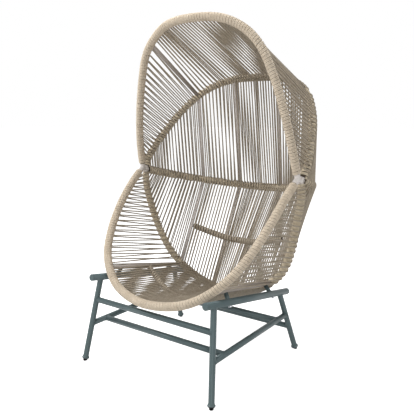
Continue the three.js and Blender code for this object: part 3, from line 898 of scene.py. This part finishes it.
def gliderProfile():
    wide, floor, stem = glider["diameter"] / 2, glider["floorGap"], glider["stem"] / 2
    high, shoulder = glider["height"], glider["shoulder"]
    return [
        (0, floor), (wide - glider["chamfer"], floor), (wide, floor + glider["chamfer"]),
        (wide, high - shoulder), (wide - shoulder, high), (stem, high),
        (stem, high + glider["stemLength"]), (0, high + glider["stemLength"])]


def addLeg(place, turn, ownFoot, ownTop, welds):
    base, top, radius = turn(ownFoot), turn(ownTop), stand["tube"] / 2
    profile = footProfile(np.linalg.norm(top - base), radius)
    tube = turnedPiece("tube", [(profile, base, top, stand["sides"])], standPaint)
    rail = turn(railFront)
    rings = [weldLine(base, top, radius, rail, turn(railBack) - rail, stand["rail"] / 2)]
    rings += [weldLine(turn(start), turn(end), radius, base, top - base, radius) for start, end in welds]
    addJoined(f"leg_{place}", "stand_paint", [tube, beads(rings, stand["bead"], standPaint)])
    upright = (gliderProfile(), base, base + (0, 0, glider["height"]), glider["sides"])
    plug = (conePlug(), base, top, stand["sides"])
    addTurned(f"glider_{place}", "glider_plastic", [upright, plug], gliderPlastic)


def addBolts(side, turn):
    across, height, (edgeIn, edgeDown) = fixing["headAcross"] / 2, fixing["head"], fixing["headEdge"]
    low, radius = -fixing["boltSink"], fixing["bolt"] / 2
    headProfile = [
        (0, -height), (across - edgeIn, -height), (across, -height + edgeDown), (across, 0), (0, 0)]
    for end, (onRail, onRib) in fixings.items():
        onRail, onRib = turn(onRail), turn(onRib)
        seat = towards(onRail, onRib, -stand["rail"] / 2 - fixing["headGap"])
        tip = np.linalg.norm(onRib - seat) + pod["rib"] / 2 * fixing["grip"]
        head = (headProfile, seat, onRib, fixing["headSides"])
        shank = ([(0, low), (radius, low), (radius, tip), (0, tip)], seat, onRib, fixing["boltSides"])
        addTurned(f"pod_bolt_{end}_{side}", "bolt_steel", [head, shank], boltZinc)


def addStretcher(node, a, b):
    standsFor(standTube(pieceName(node), a, b), "stand_paint", node)


def addCrossStretcher(node, end):
    radius = stand["tube"] / 2
    ring = weldLine(mirrored(end), end, radius, sideTieFront, sideTieBack - sideTieFront, radius)
    tube = standTube("tube", mirrored(end), end)
    bead = beads([ring, [mirrored(p) for p in ring]], stand["bead"], standPaint)
    addJoined(node, "stand_paint", [tube, bead])


frontWelds = [(sideTieBack, sideTieFront), (mirrored(frontTie), frontTie)]
backWelds = [(sideTieFront, sideTieBack), (mirrored(rearTie), rearTie)]
for side, turn in sides.items():
    addRail(side, turn)
    addRailCaps(side, turn)
    addLeg(f"front_{side}", turn, footFront, legTopFront, frontWelds)
    addLeg(f"back_{side}", turn, footBack, legTopBack, backWelds)
    addBolts(side, turn)
    addStretcher(f"side_stretcher_{side}", turn(sideTieFront), turn(sideTieBack))
addStretcher("front_stretcher", mirrored(frontTie), frontTie)
addStretcher("rear_stretcher", mirrored(rearTie), rearTie)
addCrossStretcher("front_cross_stretcher", crossTieFront)
addCrossStretcher("rear_cross_stretcher", crossTieBack)
print("stand: rails, legs, stretchers, caps, gliders and bolts")


# Pod frame: bent bars, ribs and ties
bentBars = {
    "hood_hoop": bars["hood"], "seat_hoop": bars["seat"], "back_arch": bars["arch"],
    "lower_hoop": bars["lower"], "mid_rail": bars["mid"], "lumbar_bar": lumbar, "seat_tie_bar": seatTie,
}
for node, bar in bentBars.items():
    tube = roundAlong(pieceName(node), [bar.points], bar.radius, pod["sides"], podPaint)
    standsFor(tube, "pod_tube", node)


def addRib(node, side, turn):
    a, b = (turn(p) for p in ribLines[node])
    radius = pod["rib"] / 2
    rings = []
    for (start, end), barName in zip(((b, a), (a, b)), ribEnds[node]):
        carrier = bars[barName]
        station = ribShares[node][barName] * carrier.length
        place, line = turn(carrier.at(station)), turn(carrier.along(station))
        rings.append(weldLine(start, end, radius, place, line, carrier.radius))
    # the hood struts and seat ribs take the darker copy of the pod paint, painted shade
    paint = paintedShadePodPaint if node in ("hood_strut", "seat_rib") else podPaint
    parts = [roundAlong("tube", [[a, b]], radius, pod["sides"], paint), beads(rings, pod["bead"], paint)]
    addJoined(f"{node}_{side}", "pod_tube", parts)


for side, turn in sides.items():
    for node in ribLines:
        addRib(node, side, turn)
print("pod: hoops, back bars, ribs and ties")


# Rope: pairs of turns on the bars, and strands from bar to bar
rope = {
    "diameter": 6, "sides": 8, "pointsPerTurn": 16, "strandSides": 8, "strandWander": 1.1,
    "close": {"laneStep": 5.6, "pitch": 13.2}, "open": {"laneStep": 5.2, "pitch": 14.8},
    "wound": {
        "hood": "close", "seat": "close", "lower": "close", "arch": "open", "mid": "open", "tie": "open"},
    "raised": {"hood": 0, "seat": 0, "arch": 1.2, "lower": 1.5, "mid": 3.5},  # turns stand off the bar
    "turnsStart": {"hood": 20, "seat": 34, "arch": 15, "lower": 14, "mid": 15},
    # the sleeve under the turns is painted shade: a darker tube that shows in the gaps between the pairs
    "seamShare": 0.312, "seamGap": 1.6, "tieMargins": (14, 20),
    "shadeSleeveRise": 1.2, "shadeSleeveStep": 9,
    "strandsStart": {"hood": 58, "seat": 40, "arch": 36, "lower": 14, "mid": 14},
    "ribGap": {"hood": 11, "arch": 11, "mid": 11, "lower": 8, "seat": 4},
    "closerAtJoint": {"hood": 0.22, "seat": 0.2, "arch": 0, "lower": 0.12, "mid": 0},
    "openShare": 0.24,  # how far the two ropes of a pair part, of the way to the next pair
}
ropeEnds = {  # angles round the bar in degrees: 0 is the side that the rope leaves on, 90 away from the panel
    "tucked": {"angles": (0, 18, 36, 48), "settled": 0.8, "sunkShare": 0.4},
    "rear": {"leave": -74, "sink": -70, "lead": 4},
    "looped": {"step": 15, "last": 90, "layers": 1.5},
}
bays = {  # pairs of strands in the bays between ribs, on each side of the middle
    "hood_rope": {"side": 21, "outer": 10, "inner": 7},
    "upper_back_rope": {"side": 18, "outer": 10, "inner": 8},
    "lower_back_rope": {"side": 19, "outer": 12, "inner": 8},
    "seat_rope": {"side": 20, "outer": 16, "inner": 6},
}


def windOn(name, slot, node, bar, first, last, material, way, raised=0):
    # A pair of ropes side by side, in whole turns between two places along the bar, over a sleeve in a darker
    # rope colour: painted shade that darkens the gaps between the pairs of turns
    thick, step = rope["diameter"], rope[way]["laneStep"]
    pitch = (last - first) / round((last - first) / rope[way]["pitch"])
    turns = grown(
        name, wireOf(name, [bar.points]), ropeTurns, Turn_Radius=(bar.radius + raised + thick / 2) / 1000,
        Rope_Radius=thick / 2000, Pitch=pitch / 1000, Start=first / 1000, End=last / 1000,
        Lanes=2, Lane_Step=step / 1000, Points_Per_Turn=rope["pointsPerTurn"], Sides=rope["sides"],
        Material=material)
    # painted shade: a sleeve just under the turns, darker than the turns, so the gaps between the pairs read
    # dark
    stations = np.linspace(first, last + step, max(int((last - first) / rope["shadeSleeveStep"]), 2))
    under = roundAlong(
        "under", [[bar.at(station) for station in stations]], bar.radius + raised + rope["shadeSleeveRise"],
        pod["sides"], panelRope if way == "close" else paintedShadeRope)
    standsFor(joinInto(name, [turns, under]), slot, node)


def turnStretches(name):
    # The bound stretches of a bar: right section, middle and left, which meet at the outer ribs
    bar = bars[name]
    rib, start = outerRib[name] * bar.length, bar.tail + rope["turnsStart"][name]
    end = bar.length - start - rope[rope["wound"][name]]["laneStep"]
    return {"right": (start, rib), "middle": (rib, bar.length - rib), "left": (bar.length - rib, end)}


hoodBar = bars["hood"]
hoodStart, hoodSeam = hoodBar.tail + rope["turnsStart"]["hood"], rope["seamShare"] * hoodBar.length
hoodStretches = {
    "Right": (hoodStart, hoodSeam),
    "Middle": (hoodSeam + rope["seamGap"], hoodBar.length - hoodSeam - rope["seamGap"]),
    "Left": (hoodBar.length - hoodSeam, hoodBar.length - hoodStart - rope["close"]["laneStep"]),
}
for section, (first, last) in hoodStretches.items():
    windOn("hoodHoopTurns" + section, "hoop_rope", "hood_hoop_wrap", hoodBar, first, last, hoopRope, "close")
panels = {
    "hood_rope": {
        "bound": "arch", "other": "hood", "pinched": "hood", "material": boundRope,
        "looped": False, "cross": 1, "pinch": 0.2},
    "upper_back_rope": {
        "bound": "mid", "other": "arch", "pinched": "arch", "material": boundRope,
        "looped": True, "cross": 1, "pinch": 0.53},
    "lower_back_rope": {
        "bound": "lower", "other": "mid", "pinched": "mid", "material": boundRope,
        "looped": True, "cross": 1, "pinch": 0.53, "tie": lumbar, "tieRaised": 3},
    "seat_rope": {
        "bound": "seat", "other": "lower", "pinched": "seat", "material": hoopRope,
        "looped": True, "cross": -1, "pinch": 0.2, "tie": seatTie, "tieRaised": 0},
}


def bayEnds(name):
    bar = bars[name]
    margin = rope["ribGap"][name] + rope["diameter"] / 2
    rib = outerRib[name] * bar.length
    return {
        "side": (bar.tail + rope["strandsStart"][name], rib - margin),
        "outer": (rib + margin, innerRib[name] * bar.length),
        "inner": (innerRib[name] * bar.length, bar.length / 2),
    }


def arcRound(bar, station, along, layer, spots):
    # Spots are [angle, radius] pairs, on the sitter's side for layer 1 and on the outer side for layer -1
    place, tangent = bar.at(station), bar.along(station)
    normal = towardsSitter(place, along, tangent) * layer
    away = unit(along - tangent * np.dot(along, tangent))
    turned = [(math.radians(angle), radius) for angle, radius in spots]
    return [place + (normal * math.cos(angle) + away * math.sin(angle)) * radius for angle, radius in turned]


def tuckedEnd(bar, station, along, layer):
    # Sinks among the turns just after it meets them
    s, under, over = ropeEnds["tucked"], bar.radius, bar.radius + rope["diameter"] / 2
    radii = (over, over - s["settled"], lerp(under, over, s["sunkShare"]), under)
    return arcRound(bar, station, along, layer, zip(s["angles"], radii))


def rearEnd(bar, station, along, layer):
    # Comes out between the turns at the back of the bar, close beside the other rope of its pair
    s, under, over = ropeEnds["rear"], bar.radius, bar.radius + rope["diameter"]
    spots = [(s["leave"], over + s["lead"]), (s["leave"], over), (s["sink"], under)]
    return arcRound(bar, station, along, layer, spots)


def loopedEnd(bar, station, middle, along, layer):
    # Half of a loop over the turns, from its own side to the bar's far side
    s = ropeEnds["looped"]
    over = bar.radius + s["layers"] * rope["diameter"]
    line = []
    for angle in range(0, s["last"] + 1, s["step"]):
        place = lerp(station, middle, (angle / s["last"]) ** 2)
        line += arcRound(bar, place, along, layer, [(angle, over)])
    return line


def strandPair(panel, boundStations, otherStations):
    # One rope runs to the other bar on the sitter's side and back on the outer side
    bound, other = bars[panel["bound"]], bars[panel["other"]]
    firstEnd = rearEnd if panel["pinched"] == panel["bound"] else tuckedEnd
    halves = []
    for layer, boundStation, otherStation in zip((1, -1), boundStations, otherStations):
        along = unit(other.at(otherStation) - bound.at(boundStation))
        start = firstEnd(bound, boundStation, -along, layer)
        if panel["looped"]:
            end = loopedEnd(other, otherStation, sum(otherStations) / 2, along, layer)
        else:
            end = rearEnd(other, otherStation, along, layer)
        halves.append([*reversed(start), *end])
    if panel["looped"]:
        return [[*halves[0], *reversed(halves[1][:-1])]]
    return halves


def strandLines(panel, bay, count, turn):
    # The two ropes of a pair leave one bar side by side, and open out to an even spacing on the other
    lines = []
    for i in range(count):
        stations = []
        for name in (panel["bound"], panel["other"]):
            first, last = bayEnds(name)[bay]
            share, bend = (i + 0.5) / count, rope["closerAtJoint"][name] if bay == "side" else 0
            middle = first + (last - first) * (share * (1 - bend) + share * share * bend)
            close, even = panel["pinch"] * rope["diameter"], rope["openShare"] * ((last - first) / count)
            spread = panel["cross"] * (close if name == panel["pinched"] else even)
            stations.append([
                middle + side * spread + dice.uniform(-1, 1) * rope["strandWander"] for side in (1, -1)])
        lines += [[turn(p) for p in line] for line in strandPair(panel, *stations)]
    return lines


def addPanel(node, panel):
    bound, material = panel["bound"], panel["material"]
    boundSlot = "hoop_rope" if material == hoopRope else "panel_rope"
    for section in ("right", "middle", "left"):
        if section == "middle":
            lines = [line for bay in ("outer", "inner") for flip in sides.values()
                     for line in strandLines(panel, bay, bays[node][bay], flip)]
        else:
            lines = strandLines(panel, "side", bays[node]["side"], sides[section])
        ownNode = f"{node}_{section}"
        name = pieceName(ownNode)
        strands = roundAlong(name + "Strands", lines, rope["diameter"] / 2, rope["strandSides"], panelRope)
        standsFor(strands, "panel_rope", ownNode)
        first, last = turnStretches(bound)[section]
        windOn(name + "Turns", boundSlot, ownNode, bars[bound], first, last, material, rope["wound"][bound],
               rope["raised"][bound])
    if "tie" in panel:
        tie, (before, after) = panel["tie"], rope["tieMargins"]
        windOn(pieceName(node) + "TieTurns", "panel_rope", node + "_middle", tie, before, tie.length - after,
               panelRope, rope["wound"]["tie"], panel["tieRaised"])


for node, panel in panels.items():
    addPanel(node, panel)
print("rope: turns and strands")
